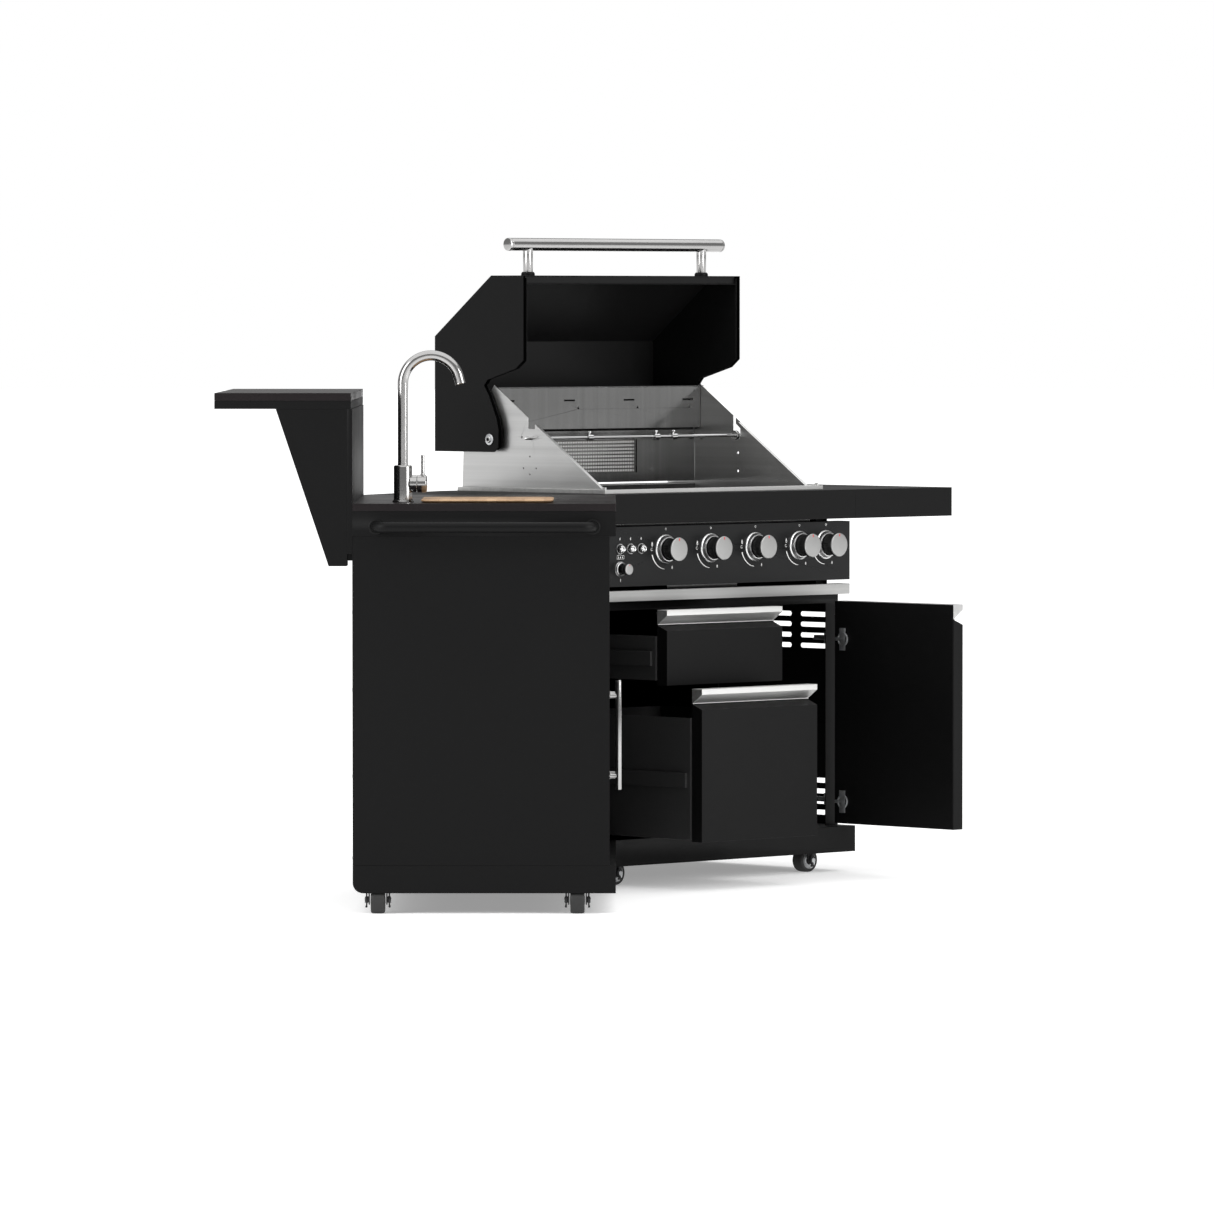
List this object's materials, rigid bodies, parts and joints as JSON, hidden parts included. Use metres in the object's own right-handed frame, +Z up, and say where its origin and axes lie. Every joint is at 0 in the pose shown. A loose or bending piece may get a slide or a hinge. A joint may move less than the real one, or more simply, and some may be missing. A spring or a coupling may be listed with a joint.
{
  "type": "outdoor kitchen grill",
  "caption": "Gas grill cabinet with opening hood, drawers and side shelf, joined at an angle to a sink cabinet with raised bar.",
  "frame": {"origin": "on the floor, under the middle of the whole object's box", "axes": "+X along the grill cabinet's front, +Y from its front to its back, +Z up"},
  "size_m": [2.508, 1.3464, 1.5765],
  "materials": {
    "painted_black": "satin powder coat",
    "inner_black": "satin powder coat",
    "brushed_steel": "brushed stainless",
    "bright_chrome": "polished",
    "plated_steel": "zinc plated",
    "cast_grate": "matt enamel",
    "dark_slab": "honed top, warm brown edge",
    "board_wood": "oiled bamboo",
    "knob_black": "black barrel with a satin metal face",
    "caster_black": "black",
    "caster_tyre": "rubber tyre with a steel disc"
  },
  "bodies": {
    "cabinets": {"plinth_trays": "painted_black", "grill_carcass": "painted_black", "cabinet_runners": "plated_steel", "front_trim": "brushed_steel", "control_panel": "painted_black", "control_bezels": "bright_chrome", "grill_worktop": "painted_black", "side_shelf": "painted_black", "firebox_sides": "brushed_steel", "firebox_liner": "brushed_steel", "grill_rim": "brushed_steel", "cooking_grates": "cast_grate", "burners_and_manifold": "plated_steel", "sink_carcass": "painted_black", "sink_worktop": "dark_slab", "sink_bowl": "brushed_steel", "towel_bar": "painted_black", "faucet_body": "brushed_steel", "corner_unit": "painted_black", "bar_frame": "painted_black", "bar_top": "dark_slab"},
    "hood": {"hood_shell": "painted_black", "hood_liner": "inner_black", "hood_handle": "brushed_steel"},
    "spit": {"spit_rod": "bright_chrome"},
    "grease_tray": {"grease_tray": "brushed_steel"},
    "upper_drawer": {"upper_drawer_box": "inner_black", "upper_drawer_front": "painted_black", "upper_drawer_grip": "brushed_steel"},
    "lower_drawer": {"lower_drawer_box": "inner_black", "lower_drawer_front": "painted_black", "lower_drawer_grip": "brushed_steel"},
    "grill_door": {"grill_door": "painted_black", "grill_door_grip": "brushed_steel"},
    "sink_door_left": {"sink_door_left": "painted_black"},
    "sink_door_right": {"sink_door_right": "painted_black"},
    "faucet_spout": {"faucet_spout": "brushed_steel"},
    "faucet_lever": {"faucet_lever": "brushed_steel"},
    "cutting_board": {"cutting_board": "board_wood"},
    "knob_1": {"knob_1": "knob_black"},
    "knob_2": {"knob_2": "knob_black"},
    "knob_3": {"knob_3": "knob_black"},
    "knob_4": {"knob_4": "knob_black"},
    "knob_5": {"knob_5": "knob_black"},
    "knob_small": {"knob_small": "knob_black"},
    "button_left": {"button_left": "bright_chrome"},
    "button_middle": {"button_middle": "bright_chrome"},
    "button_right": {"button_right": "bright_chrome"},
    "caster_fork_grill_front_left": {"caster_fork_grill_front_left": "caster_black"},
    "caster_wheel_grill_front_left": {"caster_wheel_grill_front_left": "caster_tyre"},
    "caster_fork_grill_front_right": {"caster_fork_grill_front_right": "caster_black"},
    "caster_wheel_grill_front_right": {"caster_wheel_grill_front_right": "caster_tyre"},
    "caster_fork_grill_back_left": {"caster_fork_grill_back_left": "caster_black"},
    "caster_wheel_grill_back_left": {"caster_wheel_grill_back_left": "caster_tyre"},
    "caster_fork_grill_back_right": {"caster_fork_grill_back_right": "caster_black"},
    "caster_wheel_grill_back_right": {"caster_wheel_grill_back_right": "caster_tyre"},
    "caster_fork_sink_front": {"caster_fork_sink_front": "caster_black"},
    "caster_wheel_sink_front": {"caster_wheel_sink_front": "caster_tyre"},
    "caster_fork_sink_back": {"caster_fork_sink_back": "caster_black"},
    "caster_wheel_sink_back": {"caster_wheel_sink_back": "caster_tyre"}
  },
  "joints": [
    {"name": "hood_hinge", "type": "hinge", "parent": "cabinets", "child": "hood", "pos_m": [0.47601, 0.45596, 1.08], "axis": [1, 0, 0], "range_deg": [0, 90]},
    {"name": "spit_turn", "type": "hinge", "parent": "cabinets", "child": "spit", "pos_m": [0.47601, 0.32796, 1.084], "axis": [1, 0, 0], "continuous": true},
    {"name": "grease_tray_slide", "type": "slide", "parent": "cabinets", "child": "grease_tray", "axis": [0, 1, 0], "range_m": [0, 0.4]},
    {"name": "upper_drawer_slide", "type": "slide", "parent": "cabinets", "child": "upper_drawer", "axis": [0, 1, 0], "range_m": [-0.224, 0.176]},
    {"name": "lower_drawer_slide", "type": "slide", "parent": "cabinets", "child": "lower_drawer", "axis": [0, 1, 0], "range_m": [-0.106, 0.294]},
    {"name": "grill_door_hinge", "type": "hinge", "parent": "cabinets", "child": "grill_door", "pos_m": [0.88001, -0.00404, 0.4], "axis": [0, 0, 1], "range_deg": [-90, 15]},
    {"name": "sink_door_left_hinge", "type": "hinge", "parent": "cabinets", "child": "sink_door_left", "pos_m": [-0.60135, -0.65478, 0.49], "axis": [0, 0, 1], "range_deg": [-100, 0]},
    {"name": "sink_door_right_hinge", "type": "hinge", "parent": "cabinets", "child": "sink_door_right", "pos_m": [0.03363, -0.0198, 0.49], "axis": [0, 0, 1], "range_deg": [0, 50]},
    {"name": "faucet_spout_swivel", "type": "hinge", "parent": "cabinets", "child": "faucet_spout", "pos_m": [-0.84531, -0.21991, 1.1], "axis": [0, 0, 1], "range_deg": [-110, 110]},
    {"name": "faucet_lever_turn", "type": "hinge", "parent": "cabinets", "child": "faucet_lever", "pos_m": [-0.81419, -0.25102, 0.995], "axis": [0.7071, -0.7071, 0], "range_deg": [-45, 45]},
    {"name": "cutting_board_lift", "type": "slide", "parent": "cabinets", "child": "cutting_board", "axis": [0.5657, -0.5657, 0.6], "range_m": [0, 0.3]},
    {"name": "knob_1_turn", "type": "hinge", "parent": "cabinets", "child": "knob_1", "pos_m": [0.24601, -0.02404, 0.816], "axis": [0, -1, 0], "range_deg": [0, 180]},
    {"name": "knob_2_turn", "type": "hinge", "parent": "cabinets", "child": "knob_2", "pos_m": [0.40351, -0.02404, 0.816], "axis": [0, -1, 0], "range_deg": [0, 180]},
    {"name": "knob_3_turn", "type": "hinge", "parent": "cabinets", "child": "knob_3", "pos_m": [0.56101, -0.02404, 0.816], "axis": [0, -1, 0], "range_deg": [0, 180]},
    {"name": "knob_4_turn", "type": "hinge", "parent": "cabinets", "child": "knob_4", "pos_m": [0.71851, -0.02404, 0.816], "axis": [0, -1, 0], "range_deg": [0, 180]},
    {"name": "knob_5_turn", "type": "hinge", "parent": "cabinets", "child": "knob_5", "pos_m": [0.81351, -0.02404, 0.816], "axis": [0, -1, 0], "range_deg": [0, 180]},
    {"name": "knob_small_turn", "type": "hinge", "parent": "cabinets", "child": "knob_small", "pos_m": [0.08951, -0.02404, 0.77], "axis": [0, -1, 0], "range_deg": [0, 180]},
    {"name": "button_left_press", "type": "slide", "parent": "cabinets", "child": "button_left", "axis": [0, 1, 0], "range_m": [0, 0.004], "stiffness_N_per_m": 500},
    {"name": "button_middle_press", "type": "slide", "parent": "cabinets", "child": "button_middle", "axis": [0, 1, 0], "range_m": [0, 0.004], "stiffness_N_per_m": 500},
    {"name": "button_right_press", "type": "slide", "parent": "cabinets", "child": "button_right", "axis": [0, 1, 0], "range_m": [0, 0.004], "stiffness_N_per_m": 500},
    {"name": "caster_swivel_grill_front_left", "type": "hinge", "parent": "cabinets", "child": "caster_fork_grill_front_left", "pos_m": [0.12101, 0.03196, 0.098], "axis": [0, 0, 1], "continuous": true},
    {"name": "caster_roll_grill_front_left", "type": "hinge", "parent": "caster_fork_grill_front_left", "child": "caster_wheel_grill_front_left", "pos_m": [0.09601, 0.03196, 0.03], "axis": [0, 1, 0], "continuous": true},
    {"name": "caster_swivel_grill_front_right", "type": "hinge", "parent": "cabinets", "child": "caster_fork_grill_front_right", "pos_m": [0.80101, 0.03196, 0.098], "axis": [0, 0, 1], "continuous": true},
    {"name": "caster_roll_grill_front_right", "type": "hinge", "parent": "caster_fork_grill_front_right", "child": "caster_wheel_grill_front_right", "pos_m": [0.77601, 0.03196, 0.03], "axis": [0, 1, 0], "continuous": true},
    {"name": "caster_swivel_grill_back_left", "type": "hinge", "parent": "cabinets", "child": "caster_fork_grill_back_left", "pos_m": [0.12101, 0.52996, 0.098], "axis": [0, 0, 1], "continuous": true},
    {"name": "caster_roll_grill_back_left", "type": "hinge", "parent": "caster_fork_grill_back_left", "child": "caster_wheel_grill_back_left", "pos_m": [0.09601, 0.52996, 0.03], "axis": [0, 1, 0], "continuous": true},
    {"name": "caster_swivel_grill_back_right", "type": "hinge", "parent": "cabinets", "child": "caster_fork_grill_back_right", "pos_m": [0.80101, 0.52996, 0.098], "axis": [0, 0, 1], "continuous": true},
    {"name": "caster_roll_grill_back_right", "type": "hinge", "parent": "caster_fork_grill_back_right", "child": "caster_wheel_grill_back_right", "pos_m": [0.77601, 0.52996, 0.03], "axis": [0, 1, 0], "continuous": true},
    {"name": "caster_swivel_sink_front", "type": "hinge", "parent": "cabinets", "child": "caster_fork_sink_front", "pos_m": [-0.62115, -0.57134, 0.098], "axis": [0, 0, 1], "continuous": true},
    {"name": "caster_roll_sink_front", "type": "hinge", "parent": "caster_fork_sink_front", "child": "caster_wheel_sink_front", "pos_m": [-0.63883, -0.58902, 0.03], "axis": [-0.7071, 0.7071, 0], "continuous": true},
    {"name": "caster_swivel_sink_back", "type": "hinge", "parent": "cabinets", "child": "caster_fork_sink_back", "pos_m": [-0.94854, -0.24395, 0.098], "axis": [0, 0, 1], "continuous": true},
    {"name": "caster_roll_sink_back", "type": "hinge", "parent": "caster_fork_sink_back", "child": "caster_wheel_sink_back", "pos_m": [-0.96622, -0.26163, 0.03], "axis": [-0.7071, 0.7071, 0], "continuous": true}
  ]
}
